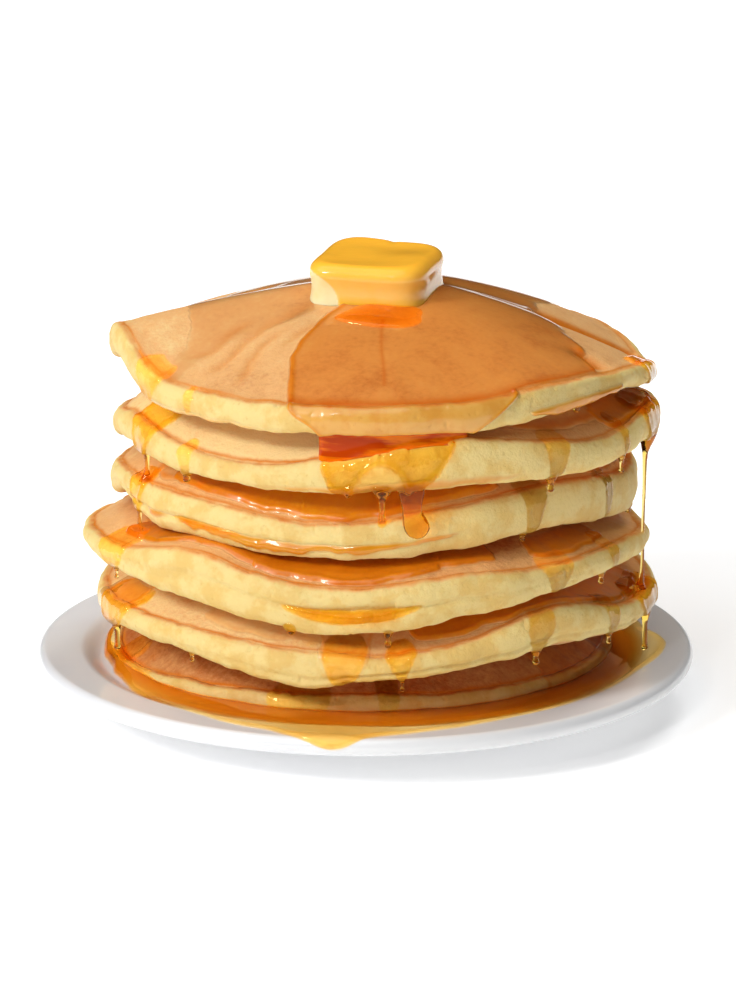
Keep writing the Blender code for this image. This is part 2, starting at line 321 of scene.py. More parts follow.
# Heights are in millimetres above the table, angles in degrees anticlockwise from the right.
# stretch, skew and trefoil: how far the outline is from a circle, as shares of its radius.
# seat: height of the middle of the underside. crust and base: usual heights of the two edges.
# bumps: direction, width, rise of the crust's edge, rise of the base's edge.
# creases: direction, width, level on the side from 1 at the crust to -1 at the base, depth.
# The way down is negative millimetres on the crust, 0 to 10 on the side and more underneath.
# stains (only colour and gloss) and flows (bodies of syrup): the left border at the start and at
# the end, the right border at both, the start, the end and the depth of syrup.
# nubs: direction, half width at the top, length of a drip that hangs from the base's edge.
# toast: how brown the crust is, innerToast: how much more so away from its edge, pale: places
# with less, by direction, width and amount. curtain: which of the flows has a thin window in it.
cakes = [
    {
        "node": "pancake_1", "stretch": 0.024, "skew": 0.0, "trefoil": 0.004,
        "seat": 12.8, "crust": 17.3, "base": 12.8,
        "bumps": [(194, 12, -2.5, 0), (270, 24, 2.0, 0)],
        "creases": [],
        "stains": [(190, 190, 300, 300, -22, -7, 0.3), (318, 318, 400, 400, -16, 12, 0.4)],
        "flows": [(247, 248, 263, 262, -6, 12, 0.55), (273, 274, 279, 278.5, -12, 12, 0.5),
                  (187, 188, 199, 197, -9, 12, 0.6)],
        "nubs": [],
        "toast": 0.8, "pale": [],
        "innerToast": 0.25,
        "seed": 11,
    },
    {
        "node": "pancake_2", "stretch": 0.007, "skew": 0.006, "trefoil": -0.008,
        "seat": 31.0, "crust": 37.4, "base": 30.8,
        "bumps": [(222, 14, 1.3, 0.3), (254, 11, 0, -5.2), (267, 13, -2.0, 0), (282, 12, 0, -1.8),
                  (309, 12, 7.8, 2.8), (130, 25, -2.0, -1.0)],
        "creases": [(285, 30, -0.45, 0.9)],
        "stains": [(254, 259, 270, 268, -14, 9, 0.35), (278, 278, 352, 352, -20, -1, 0.8),
                   (228, 228, 262, 262, -22, -2, 0.18),
                   (190, 190, 208, 206, -12, 10, 0.4), (20, 20, 60, 60, -9, -2, 0.4)],
        "flows": [(257.5, 259.5, 268.5, 266.5, -9, 10.6, 0.6), (193, 196, 211, 207, -9, 10.6, 0.9),
                  (271, 273.5, 279, 276, -6, 10.8, 0.8), (300, 302, 310, 307, -2, 10.6, 0.4),
                  (322, 324, 330, 328, -7, 10.6, 0.4), (338, 340, 356, 352, -8, 10.8, 1.0),
                  (73, 74, 81, 79, -2, 10.8, 0.5)],
        "nubs": [(304.5, 1.9, 4.6), (326, 1.2, 3.4), (347, 2.0, 12.5), (201, 2.0, 9.0), (229, 1.1, 2.6),
                 (275, 1.1, 4.0), (77, 1.4, 3.0)],
        "toast": 0.5, "pale": [(225, 40, 0.42)],
        "innerToast": 0,
        "seed": 23,
    },
    {
        "node": "pancake_3", "stretch": 0.012, "skew": -0.008, "trefoil": -0.006,
        "seat": 50.0, "crust": 57.7, "base": 49.5,
        "bumps": [(192, 11, -0.4, 2.0), (231, 10, 5.6, 0), (265, 20, -1.5, -7.0), (288, 9, 2.2, 0),
                  (330, 15, 0.8, 2.0), (8, 15, -5.5, -1.5), (156, 20, -6.0, -4.0)],
        "creases": [(258, 26, 0.02, 1.5), (228, 14, -0.3, 0.8)],
        "stains": [(244, 246, 290, 284, -14, -0.2, 0.9), (203, 203, 232, 229, -14, -3, 0.8),
                   (226, 226, 300, 300, -20, -3, 0.75),
                   (309, 309, 332, 332, -16, -2, 0.7), (150, 150, 166, 166, -9, -2, 0.5)],
        "flows": [(252, 253.5, 282, 279, 4.4, 7.4, 1.3), (199, 203, 213, 211, -10, 10.4, 0.6),
                  (307, 309, 318, 314, -7, 10.6, 0.32), (326, 327, 332, 330, -9, 10.6, 0.4),
                  (123, 124, 131, 129, -2, 10.6, 0.45)],
        "nubs": [(325.5, 1.5, 3.6), (254.5, 2.6, 2.2), (274.5, 1.9, 5.0), (207, 1.0, 3.5), (126, 1.4, 3.0)],
        "toast": 0.55, "pale": [(185, 14, 0.1)],
        "innerToast": 0.25,
        "seed": 37,
    },
    {
        "node": "pancake_4", "stretch": 0.006, "skew": 0.010, "trefoil": 0.010,
        "seat": 69.5, "crust": 75.3, "base": 63.0,
        "bumps": [(197, 9, 0.5, 6.0), (224, 12, 1.2, 0), (258, 14, -2.0, 0), (309, 17, 5.2, 4.3),
                  (351, 12, -0.5, -1.5), (8, 12, -2.5, 0), (155, 22, -4.5, -2.0)],
        "creases": [(232, 26, -0.25, 1.3), (262, 20, -0.35, 0.6)],
        "stains": [(250, 252, 283, 279, -16, -0.2, 0.9), (214, 214, 290, 282, 5.0, 8.4, 0.6),
                   (214, 214, 300, 300, -22, -0.8, 0.9),
                   (205, 205, 222, 222, -7, -2, 0.4), (320, 320, 350, 350, -12, -1, 0.5)],
        "flows": [(202, 204, 211, 208.5, -5, 10.6, 1.0), (214, 215, 246, 244, 5.2, 7.0, 0.7),
                  (302, 303.5, 312, 308, -8, 10.8, 0.42), (329, 330, 335, 333, -7, 10.6, 0.4),
                  (38, 39, 46, 44, -2, 10.6, 0.5)],
        "nubs": [(304, 1.5, 2.6), (204.5, 1.5, 7.0), (350, 1.6, 2.2), (41, 1.4, 3.4)],
        "toast": 0.42, "pale": [(200, 12, -0.12)],
        "innerToast": 0.25,
        "seed": 41,
    },
    {
        "node": "pancake_5", "stretch": 0.006, "skew": -0.006, "trefoil": -0.008,
        "seat": 91.0, "crust": 90.5, "base": 82.8,
        "bumps": [(200, 11, 4.5, 3.5), (237, 8, -1.0, 0), (286, 19, 8.5, 2.2), (343, 15, 4.5, 3.5),
                  (158, 20, -3.5, -3.0)],
        "creases": [],
        "stains": [(240, 240, 300, 300, 7, 10.4, 0.3), (325, 325, 352, 352, -14, 1, 0.7),
                   (296, 296, 330, 330, -12, -4, 0.35), (90, 90, 120, 120, -10, -2, 0.4)],
        "flows": [(254.8, 258.4, 288.2, 276.8, -4, 10.9, 0.7), (201, 203, 215, 210.5, -12, 10.7, 1.0),
                  (220, 221, 226, 224.5, -3, 10.4, 0.4), (303, 304.5, 312, 309, -7, 10.6, 0.4),
                  (326, 327, 330, 329, -8, 10.6, 0.45), (336, 339, 353, 347, -9, 10.9, 1.0),
                  (102, 103, 109, 107, -2, 10.6, 0.45)],
        "curtain": 0,
        "nubs": [(222.5, 2.1, 3.0), (306, 1.9, 4.0), (328, 1.3, 5.0), (104, 1.5, 3.6)],
        "toast": 0.5, "pale": [(222, 30, 0.55), (255, 14, 0.25)],
        "innerToast": 0,
        "seed": 53,
    },
    {
        "node": "pancake_6", "stretch": 0.006, "skew": 0.008, "trefoil": 0.008,
        "seat": 111.5, "crust": 109.2, "base": 101.3,
        "bumps": [(193, 11, 10.5, 8.5), (312, 14, 2.4, 0.5), (328, 14, 0, 3.0), (10, 13, -7.0, -4.0),
                  (55, 35, -2.0, -1.0)],
        "creases": [],
        "stains": [(300, 303, 332, 330, 5.5, 10.3, 0.8), (196, 196, 250, 250, 7.5, 10.4, 0.3)],
        "flows": [(206, 208, 218, 215, -7, 10.6, 0.45), (223, 224, 228, 227, -1.5, 9.5, 0.3),
                  (342, 345, 361, 356, -5, 10.6, 0.8),
                  (66, 67, 75, 73, -3, 10.6, 0.5), (130, 131, 137, 135, -2.5, 10.6, 0.45)],
        "nubs": [(316, 2.0, 2.2), (70, 1.4, 3.5), (133, 1.3, 2.6)],
        "toast": 0.55, "pale": [(185, 18, 0.12)],
        "innerToast": 0,
        "seed": 67,
    },
]
stack = {
    "apex": 130.0,  # middle of the top crust
    "domePower": 1.5,  # how the top crust falls from its middle
    "seamRadius": 85.0,  # where a seam between pancakes reaches its rim's height
    "fitGap": 0.3,  # between neighbours
    "upperContact": 0.60,  # share of the way out at which the crust leaves the seam
    "lowerContact": 0.70,  # the same for the underside
    "sideDepth": 3.2,  # how far the crust's edge lies inside the widest part of the side
    "sideEnd": 10,  # the way down at which the side ends
    "turnSteps": 800,
    "frontCrowding": 0.4,  # how much closer together the columns are in front
    "crustRows": 52,
    "sideRows": 32,
    "baseRows": 12,
    "topCrustRows": 74,
    "crustCrowding": 1.8,  # how the rows draw together at the edges
    "topCrustCrowding": 1.15,
}
for cake in cakes:
    low, high = nodeBox(cake["node"])
    middle = (low + high) / 2
    cake["radius"] = (high[0] - low[0]) / 2 / (1 + cake["stretch"])
    cake["centre"] = (middle[0], middle[1] + cake["radius"] * cake["trefoil"])
topCake = cakes[-1]


def edgeHeight(cake, turn, edge):
    # the usual height of an edge, plus a bell curve for each bump
    rise = {"crust": 2, "base": 3}[edge]
    return cake[edge] + sum(bump[rise] * bell(turn, bump[0], bump[1]) for bump in cake["bumps"])


def outline(cake, turn):
    # a circle that is slightly oval, slightly skewed and slightly three-cornered
    angle = np.radians(turn)
    uneven = cake["stretch"] * np.cos(2 * angle) + cake["skew"] * np.sin(2 * angle)
    return cake["radius"] * (1 + uneven + cake["trefoil"] * np.sin(3 * angle))


def seam(number, x, y):
    # the surface on which a pancake lies: highest in the middle, falling with the square of the
    # distance to a rim halfway between the crust's edge below and the base's edge above
    middle = cakes[number]["seat"]
    if number == 0:
        return np.full(np.shape(x), middle)
    turn = np.degrees(np.arctan2(y, x))
    rim = (edgeHeight(cakes[number - 1], turn, "crust") + edgeHeight(cakes[number], turn, "base")) / 2
    return middle + (rim - middle) * (x * x + y * y) / stack["seamRadius"] ** 2


def dome(x, y):
    # the top crust: from the edge up to the apex, by one less the share of the way out to a power
    across, along = x - topCake["centre"][0], y - topCake["centre"][1]
    turn = np.degrees(np.arctan2(along, across))
    part = np.clip(np.hypot(across, along) / (outline(topCake, turn) - stack["sideDepth"]), 0, 1)
    edge = edgeHeight(topCake, turn, "crust")
    return edge + (stack["apex"] - edge) * (1 - part ** stack["domePower"])


def hump(value, middle, width):
    # a rounded hump of the distance from a middle: 1 there, falling with the square of the distance
    return np.exp(-(((value - middle) / width) ** 2))


def bevel(inside, width):
    # a quarter round: 0 at the border, 1 from width inwards
    share = np.clip(inside / width, 0, 1)
    return np.sqrt(1 - (1 - share) ** 2)


def softMin(softness, *values):
    # the least of several values, rounded off where two are nearly the same
    return -softness * np.log(sum(np.exp(-np.clip(value, -30, 30) / softness) for value in values))


run = {
    "beadRise": 0.6,  # share by which syrup is deeper just inside its border
    "beadInset": 1.2,
    "beadWidth": 0.8,
    "footRise": 0.5,  # the same at its foot
    "footInset": 1.8,
    "footWidth": 1.5,
    "slimBelow": 20,  # degrees; a run narrower than this gets slimmer and thinner on its way down
    "slimmer": 0.3,
    "thinner": 0.5,
    "longStart": -6,  # a run that starts further in than this fades in over a longer way
}


def flowDepth(cake, flows, shape, border=1.3, wandering=1.0):
    # the deepest of the flows: a quarter round at its border, a bead just inside it, more at its foot
    turn, way = shape["turn"], shape["way"]
    x, y, z = (shape["grid"][..., axis] for axis in range(3))
    wander = noise(x, y, z, 7, cake["seed"] + 5) * 0.7 + noise(x, y, z, 2.6, cake["seed"] + 6) * 0.25
    wander = wander * wandering
    perDegree = np.radians(1) * cake["radius"]
    deepest = np.zeros(way.shape)
    for leftStart, leftEnd, rightStart, rightEnd, start, end, depth in flows:
        share = np.clip((way - start) / (end - start), 0, 1)
        left, right = mix(leftStart, leftEnd, share), mix(rightStart, rightEnd, share)
        middle = apart(turn, (left + right) / 2) * perDegree
        half = (right - left) / 2 * perDegree
        slim = float(rightStart - leftStart < run["slimBelow"] and start < 0)
        half = half * (1 - run["slimmer"] * slim * smooth(way, 2, end))
        # The foot hangs lowest in the middle, and the start on the crust is a rounded tongue.
        foot = end - 0.22 * np.minimum(half * 2, 9) * (middle / half) ** 2 + wander * 0.4
        tongue = (1 - np.sqrt(np.clip((way - start) / 6, 0, 1))) * np.minimum(half, 6) * (start < 0)
        inside = softMin(0.5, half - tongue + middle + wander, half - tongue - middle - wander * 0.7,
                         foot - way)
        fadeIn = smooth(way, start, start + (5 if start < run["longStart"] else 1.5))
        bead = 1 + run["beadRise"] * hump(inside, run["beadInset"], run["beadWidth"])
        bead = bead + run["footRise"] * hump(foot - way, run["footInset"], run["footWidth"])
        thinner = 1 - run["thinner"] * slim * smooth(way, -0.5, 3)
        deepest = np.maximum(deepest, depth * bead * bevel(inside, border) * fadeIn * thinner)
    return deepest


def cakeSurface(number, turn, part, tilt):
    # points of a pancake: part is the share of the way out on the crust or the underside, tilt is
    # 90 degrees on the crust, falls over the side and is -90 degrees on the underside
    cake = cakes[number]
    topmost = cake is topCake
    turn, part, tilt = np.broadcast_arrays(turn, part, tilt)
    angle, slope = np.radians(turn), np.radians(tilt)

    # The outline and both edges wander a little.
    widest = outline(cake, turn)
    rim = widest * np.cos(angle), widest * np.sin(angle), np.zeros(turn.shape)
    crust = edgeHeight(cake, turn, "crust") + layers(*rim, 11, cake["seed"] + 2) * 0.35
    base = edgeHeight(cake, turn, "base") + layers(*rim, 9, cake["seed"] + 3) * 0.55
    widest = widest + layers(*rim, 16, cake["seed"] + 1) * 0.45
    inner = widest - stack["sideDepth"]
    edgeX = cake["centre"][0] + inner * np.cos(angle)
    edgeY = cake["centre"][1] + inner * np.sin(angle)
    floor = seam(number, edgeX, edgeY)
    base = np.maximum(base, floor)
    if not topmost:
        ceiling = seam(number + 1, edgeX, edgeY) - stack["fitGap"]
        crust = np.minimum(crust, ceiling)

    # The side is a rounded bulge, and the crust and the underside leave their seams towards the edge.
    bulge = stack["sideDepth"] * np.abs(np.cos(slope)) ** 0.75
    radius = np.where(part >= 1, inner + bulge, inner * part)
    x = cake["centre"][0] + radius * np.cos(angle)
    y = cake["centre"][1] + radius * np.sin(angle)
    level = np.sin(slope)
    z = base + (crust - base) * (level + 1) / 2
    onCrust = (part < 1) & (tilt > 0)
    onBase = (part < 1) & (tilt < 0)
    if topmost:
        crustHeight = dome(x, y) + (crust - edgeHeight(cake, turn, "crust")) * part**4
    else:
        share = np.clip(part - stack["upperContact"], 0, 1) / (1 - stack["upperContact"])
        crustHeight = seam(number + 1, x, y) - stack["fitGap"] - (ceiling - crust) * share**2
    share = np.clip(part - stack["lowerContact"], 0, 1) / (1 - stack["lowerContact"])
    baseHeight = seam(number, x, y) + (base - floor) * share**2
    z = np.where(onCrust, crustHeight, np.where(onBase, baseHeight, z))
    beneath = stack["sideEnd"] + (1 - part) * inner
    way = np.where(onBase, beneath, (1 - level) * stack["sideEnd"] / 2)
    way = np.where(onCrust, (part - 1) * inner, way)
    return {"grid": np.stack([x, y, z], -1), "turn": turn, "way": way, "level": level,
            "part": part, "onCrust": onCrust, "onBase": onBase}


def cakeGrid(number):
    # rows from the middle of the crust, over the side, to the middle of the underside; columns
    # closer together in front
    topmost = cakes[number] is topCake
    crustRows = stack["topCrustRows" if topmost else "crustRows"]
    crowding = stack["topCrustCrowding" if topmost else "crustCrowding"]
    crustPart = 1 - (1 - np.linspace(0, 1, crustRows, endpoint=False)) ** crowding
    tilt = np.linspace(90, -90, stack["sideRows"])
    inwards = np.linspace(0, 1, stack["baseRows"] + 1)[1:]
    part = np.concatenate([crustPart, np.ones(len(tilt)), 1 - inwards ** stack["crustCrowding"]])[:, None]
    tilt = np.concatenate([np.full(crustRows, 90), tilt, np.full(len(inwards), -90)])[:, None]
    even = np.arange(stack["turnSteps"]) * fullTurn / stack["turnSteps"]
    turn = even - math.degrees(stack["frontCrowding"]) * np.sin(np.radians(even - frontward))
    return cakeSurface(number, turn[None], part, tilt)


sheet = {
    "middle": (3, -8),  # of the butter
    "depth": 0.6,
    # distances from the butter, and the direction of the left border at each
    "leftBorder": ((20, 29, 41, 50, 61, 70, 78), (236, 236, 237, 240, 246, 249, 250)),
    # directions round to the back, and how far out the sheet reaches in each
    "reach": ((270, 321, 329, 333, 340, 348, 360, 380, 390, 402, 440, 465, 485),
              (120, 120, 76, 69, 66, 58, 54, 53, 57, 76, 76, 50, 15)),
    "bandDepth": 0.32,
    # distances from the butter, and the directions of the smaller band's borders at each
    "bandLeft": ((20, 48, 57, 62, 73), (100, 112, 197, 205, 210)),
    "bandRight": ((20, 35, 57, 73), (226, 217, 213, 217)),
}


def sheetDepth(shape):
    # the wide sheet of syrup down the front of the top crust and the smaller band to its left, both
    # in directions and distances from the butter, each with a rounded border
    way = shape["way"]
    x, y = shape["grid"][..., 0], shape["grid"][..., 1]
    wander = noise(x, y, 0 * x, 14, 5) * 0.9 + noise(x, y, 0 * x, 4, 6) * 0.3
    across, along = x - sheet["middle"][0], y - sheet["middle"][1]
    radius = np.hypot(across, along)
    turn = np.degrees(np.arctan2(along, across)) % fullTurn
    ahead = np.where(turn < 130, turn + fullTurn, turn)
    perDegree = np.radians(1) * np.maximum(radius, 10)
    leftEdge = np.interp(radius, *sheet["leftBorder"]) + smooth(way, 0, stack["sideEnd"]) * 7
    limit = np.interp(ahead, *sheet["reach"])
    # On the side, the right border runs back under the sheet as it goes down.
    sideEnd = 300 - 1.1 * np.maximum(way, 0)
    onSide = np.where(way > -1, (sideEnd - shape["turn"]) * np.radians(topCake["radius"]), 20)
    inside = softMin(0.8, (ahead - leftEdge) * perDegree, (limit - radius) * 0.8, onSide) + wander
    # The sheet's right border has no bead and is softer.
    right = smooth(ahead, 335, 350)
    bead = 1 + run["beadRise"] * hump(inside, run["beadInset"], run["beadWidth"]) * (1 - right)
    main = sheet["depth"] * bevel(inside, 1.5 + 3 * right) * bead * (1 - smooth(way, 9, 10.3))
    bandLeft, bandRight = np.interp(radius, *sheet["bandLeft"]), np.interp(radius, *sheet["bandRight"])
    band = softMin(0.8, (turn - bandLeft) * perDegree, (bandRight - turn) * perDegree) + wander * 1.2
    left = sheet["bandDepth"] * bevel(band, 7.0) * (1 - smooth(way, -2, 2))
    # A thread of syrup runs from the puddle towards the front, in colour only.
    shape["thread"] = hump(x, 5 + 0.4 * np.sin(y / 6), 0.6) * (y < -36) * (y > -70)
    return np.maximum(main, left)


def cakeDetail(number, shape, closed=True):
    # moves the surface along its normals: swellings, grain, pores, creases and the film of syrup,
    # which also smooths what it covers
    cake = cakes[number]
    grid, seed = shape["grid"], cake["seed"]
    x, y, z = grid[..., 0], grid[..., 1], grid[..., 2]
    side = (~shape["onCrust"] & ~shape["onBase"]).astype(float)
    swell = noise(x, y, z * 1.8, 15, seed + 7) * 0.5 + layers(x, y, z * 2.6, 7, seed + 8) * 0.17
    grain = layers(x, y, z, 1.7, seed + 9, 2) * 0.06
    pit = np.clip(noise(x, y, z, 2.1, seed + 10) - 0.66, 0, 1) * -1.4
    push = side * (swell * 0.9 + grain + pit)
    for direction, width, level, depth in cake["creases"]:
        crease = hump(shape["level"], level + noise(x, y, 0 * x, 18, seed + 11) * 0.12, 0.16)
        push = push - side * depth * bell(shape["turn"], direction, width) * crease
    # The crust is uneven towards its edge, with a shallow groove 4 mm inside it.
    groove = hump(np.minimum(shape["way"], 0), -4.0, 2.2)
    crustOnly = shape["onCrust"].astype(float)
    rough = layers(x, y, z, 3.2, seed + 12) * 0.05 + noise(x, y, z, 22, seed + 13) * 0.35
    push = push + crustOnly * (rough * shape["part"] ** 2 - 0.25 * groove)
    film = flowDepth(cake, cake["stains"], shape, 3.5, 4.0) * 0.85
    shape["fold"], shape["thread"] = 0 * x, 0 * x
    if cake is topCake:
        push = push + topCreases(shape)
        # The painted fold shade also marks the deep slot, where the syrup is thinner.
        deepFold = np.clip(shape["fold"] - 0.9, 0, 1)
        film = np.maximum(film, sheetDepth(shape)) * (1 - 0.8 * deepFold)
    film = np.where(shape["onBase"], 0, film)
    cover = smooth(film, 0.02, 0.35)
    push = push * (1 - 0.45 * cover) + film
    shape["film"] = film
    shape["grid"] = grid + normals(grid, closed) * push[..., None]


# Folds that run outwards on the top crust: direction, start, end, width, depth and how many times
# wider they are on their clockwise side. The first is a deep slot to the right.
folds = [(11, 44, 84, 3.0, 4.2, 3.2), (330, 61, 78, 2.6, 2.4, 1.4), (220, 26, 74, 2.4, 0.8, 1),
         (231, 42, 76, 2.0, 0.55, 1), (212, 44, 72, 1.6, 0.4, 1), (240, 34, 56, 1.4, 0.3, 1),
         (160, 30, 60, 2.0, 0.9, 1), (66, 34, 66, 2.4, 0.8, 1)]


def topCreases(shape):
    # how far the folds push the crust: each a hump across its direction, fading at both ends; it also keeps
    # the painted shade on their walls
    turn, part = shape["turn"], shape["part"]
    x, y = shape["grid"][..., 0], shape["grid"][..., 1]
    radius = np.hypot(x - topCake["centre"][0], y - topCake["centre"][1])
    push, wallShade = 0, 0
    for direction, start, end, width, depth, lean in folds:
        shallow = depth < 2
        bend = noise(x, y, 0 * x, 22, 91) * 5 + noise(x, y, 0 * x, 7, 92) * 1.2
        gap = np.radians(apart(turn, direction + bend * shallow)) * radius / width
        hollow = hump(np.where(gap < 0, gap / lean, gap), 0, 1)
        fade = smooth(radius, start, start + 8) * (1 - smooth(radius, end - 8, end))
        push = push - depth * hollow * fade
        # Painted shade gathers on the far wall, the one in view: it darkens the folds, and in the shallow
        # ones also stands for syrup gathered there.
        wall = hump(gap, 0.35 * (lean - 1), 1)
        wallShade = np.maximum(wallShade, wall * fade * np.clip(depth, 0.8, 2.4))
    shape["fold"] = wallShade * (part < 1)
    return push * (part < 1)


def surfaceAt(number, turn, way):
    # the surface at directions and ways down
    inner = outline(cakes[number], turn) - stack["sideDepth"]
    part = np.where(way > stack["sideEnd"], 1 - (way - stack["sideEnd"]) / inner, 1)
    part = np.where(way < 0, 1 + way / inner, part)
    tilt = np.degrees(np.arcsin(np.clip(1 - 2 * way / stack["sideEnd"], -1, 1)))
    return cakeSurface(number, turn, part, tilt)


bodies = {
    "spacing": 0.3,  # between the points of a run
    "margin": 2,  # how many degrees its skin goes beyond its borders, and how far past its ends
    "wayMargin": 1.2,
    "sunk": 0.15,  # how far the front lies in the surface where there is no syrup
    "back": 0.55,  # how far the back lies in it
    "grain": 0.36,  # step and rounds of softening of the skin that joins them
    "rounds": 2,
}


def flowParts(number):
    # for each flow: a skin over the pancake, its back sunk into the surface
    cake = cakes[number]
    parts = []
    for place, flow in enumerate(cake["flows"]):
        low = min(flow[0], flow[1]) - bodies["margin"]
        high = max(flow[2], flow[3]) + bodies["margin"]
        columns = int((high - low) * math.radians(cake["radius"]) / bodies["spacing"]) + 2
        way = np.arange(flow[4] - bodies["wayMargin"], flow[5] + bodies["wayMargin"], bodies["spacing"])
        turn = np.linspace(low, high, columns)[None]
        shape = surfaceAt(number, turn, way[:, None])
        cakeDetail(number, shape, closed=False)
        out = normals(shape["grid"], False)
        depth = flowDepth(cake, [flow], shape)
        if place == cake.get("curtain"):
            depth = depth * curtainWindow(shape)
        front = shape["grid"] + out * (depth - bodies["sunk"])[..., None]
        behind = shape["grid"] - out * bodies["back"]
        parts.append(gridParts(np.concatenate([front, behind[:, ::-1]], 1)))
    return parts


window = {
    "direction": 267.9,
    "arm": 82.3,  # from the pancake's middle to its side
    "half": 4.6,  # half width at the top of the side, and how much it gains on the way down
    "gain": 0.42,
    "way": 8.2,  # the way down of its middle, and its half height there
    "drop": 5.4,
}


def curtainWindow(shape):
    # a rounded thin place in the curtain: thin inside an ellipse, with a thicker rim round it
    half = window["half"] + window["gain"] * shape["way"]
    across = np.radians(apart(shape["turn"], window["direction"])) * window["arm"] / half
    down = (shape["way"] - window["way"]) / window["drop"]
    reach = np.sqrt(across**2 + down**2)
    return 1 - 0.75 * (1 - smooth(reach, 0.88, 1.0)) + 0.7 * hump(reach, 1.08, 0.09)


def tube(points, sides=28):
    # level ellipses along given points: x, y, z, half width and half depth
    path = softCurve(points, 7)
    angle = np.radians(np.arange(sides) * fullTurn / sides)
    x = path[:, :1] + path[:, 3:4] * np.cos(angle)
    y = path[:, 1:2] + path[:, 4:5] * np.sin(angle)
    z = np.broadcast_to(path[:, 2:3], (len(path), sides))
    return gridParts(np.stack([x, y, z], -1))


def softCurve(points, steps):
    # a smooth line through given points: each stretch eases from one slope to the next
    points = np.array(points, float)
    slopes = np.gradient(points, axis=0)
    t = np.linspace(0, 1, steps, endpoint=False)[None, :, None]
    a, b, c, d = (item[:, None] for item in (points[:-1], points[1:], slopes[:-1], slopes[1:]))
    curve = (2 * t**3 - 3 * t**2 + 1) * a + (t**3 - 2 * t**2 + t) * c
    curve = curve + (3 * t**2 - 2 * t**3) * b + (t**3 - t**2) * d
    return np.concatenate([curve.reshape(-1, points.shape[1]), points[-1:]])


def rimPoint(number, turn, edge, outwards):
    # a point of an edge, moved outwards
    cake = cakes[number]
    reach = float(outline(cake, turn)) - stack["sideDepth"] + outwards
    x = cake["centre"][0] + reach * math.cos(math.radians(turn))
    y = cake["centre"][1] + reach * math.sin(math.radians(turn))
    return x, y, float(edgeHeight(cake, turn, edge))


def nubPart(number, direction, half, length):
    # a drip under the base's edge: wide where it leaves the pancake, a thin neck, a small drop, all
    # in shares of its half width and its length
    x, y, z = rimPoint(number, direction, "base", 0.9)
    neck = 0.35 * half + 0.15
    drop = neck + 0.25
    # height from the edge, half width, half depth
    steps = [(2.2, half * 0.7, half * 0.6), (0.8, half, half * 0.8),
             (-0.12 * length, half * 0.72, half * 0.62), (-0.35 * length, neck, neck),
             (drop * 1.9 - length, neck, neck), (drop - length, drop, drop),
             (drop * 0.35 - length, drop * 0.76, drop * 0.76), (-length, 0.05, 0.05)]
    return tube([(x, y, z + height, wide, deep) for height, wide, deep in steps])


crevice = {
    "start": 255.4,  # directions of its ends
    "end": 288.0,
    "rounding": 1.5,  # degrees over which each end closes
    "centre": (5.8, -0.4),
    "columns": 130,
    "rows": 20,
    "lowerOut": 1.9,  # how far its front stands out from the crust's edge below
    "upperOut": 0.8,  # and from the base's edge above
    "hollow": 1.0,
    "depth": 7,
}


def creviceBar():
    # the deep syrup that fills the gap under the top pancake in front: a bar from the crust's edge
    # below to the base's edge above, its front hollowed by half a sine wave
    turn = np.linspace(crevice["start"], crevice["end"], crevice["columns"])[:, None]
    side = np.minimum(turn - crevice["start"], crevice["end"] - turn)
    full = bevel(side, crevice["rounding"])
    lower, upper = cakes[-2:]
    share = np.linspace(0, 1, crevice["rows"])[None]
    lowReach = outline(lower, turn) - stack["sideDepth"] + crevice["lowerOut"]
    highReach = outline(upper, turn) - stack["sideDepth"] + crevice["upperOut"]
    lowZ = edgeHeight(lower, turn, "crust") - 1.0 + 0.5 * noise(turn, 0 * turn, 0 * turn, 4, 93)
    highZ = edgeHeight(upper, turn, "base") + 0.7
    wave = np.sin(share * math.pi)
    frontR = mix(highReach, lowReach, share) - crevice["hollow"] * wave
    frontR = frontR + 0.25 * noise(turn * 0.5, share * 6, 0 * share, 2, 9) * wave
    frontZ = mix(highZ, lowZ, share) + 0 * frontR
    radius = np.concatenate([frontR, frontR[:, ::-1] - crevice["depth"]], 1)
    height = np.concatenate([frontZ, frontZ[:, ::-1]], 1)
    level = np.broadcast_to(np.concatenate([share, share[:, ::-1]], 1), radius.shape)
    radius = mix(radius.mean(1, keepdims=True), radius, full)
    height = mix(height.mean(1, keepdims=True), height, full)
    angle = np.radians(turn)
    x = crevice["centre"][0] + radius * np.cos(angle)
    y = crevice["centre"][1] + radius * np.sin(angle)
    # Its level, 0 at the top, places the painted shade under the pancake above.
    return gridMesh("syrup_crevice", gridParts(np.stack([x, y, height], -1)), attributes={"level": level})


puddle = {
    "centre": (4.8, -32.5),
    "half": (13.0, 7.6),
    "depth": 1.2,
    "lift": 0.75,  # of its top over the bare crust
    "sunk": 1.0,  # how far its underside lies in the crust
    "turnSteps": 160,
    "topRows": 24,
    "underRows": 8,
}


def domePuddle():
    # a lens of syrup on the top crust: its top is half an ellipsoid, its rim a little uneven
    angle = np.radians(np.arange(puddle["turnSteps"]) * fullTurn / puddle["turnSteps"])
    topShare, underShare = np.linspace(0, 1, puddle["topRows"]), np.linspace(1, 0, puddle["underRows"])
    topRise = puddle["lift"] + puddle["depth"] * np.sqrt(1 - topShare**2)
    underRise = np.full(puddle["underRows"], -puddle["sunk"])
    topRise[-1] = underRise[0] = 0
    share = np.concatenate([topShare, underShare])[:, None]
    rise = np.concatenate([topRise, underRise])[:, None]
    uneven = 1 + 0.12 * noise(9 * np.cos(angle), 9 * np.sin(angle), 0 * angle, 5, 61)
    x = puddle["centre"][0] + puddle["half"][0] * share * uneven * np.cos(angle)
    y = puddle["centre"][1] + puddle["half"][1] * share * uneven * np.sin(angle)
    return gridParts(np.stack([x, y, dome(x, y) + rise], -1))
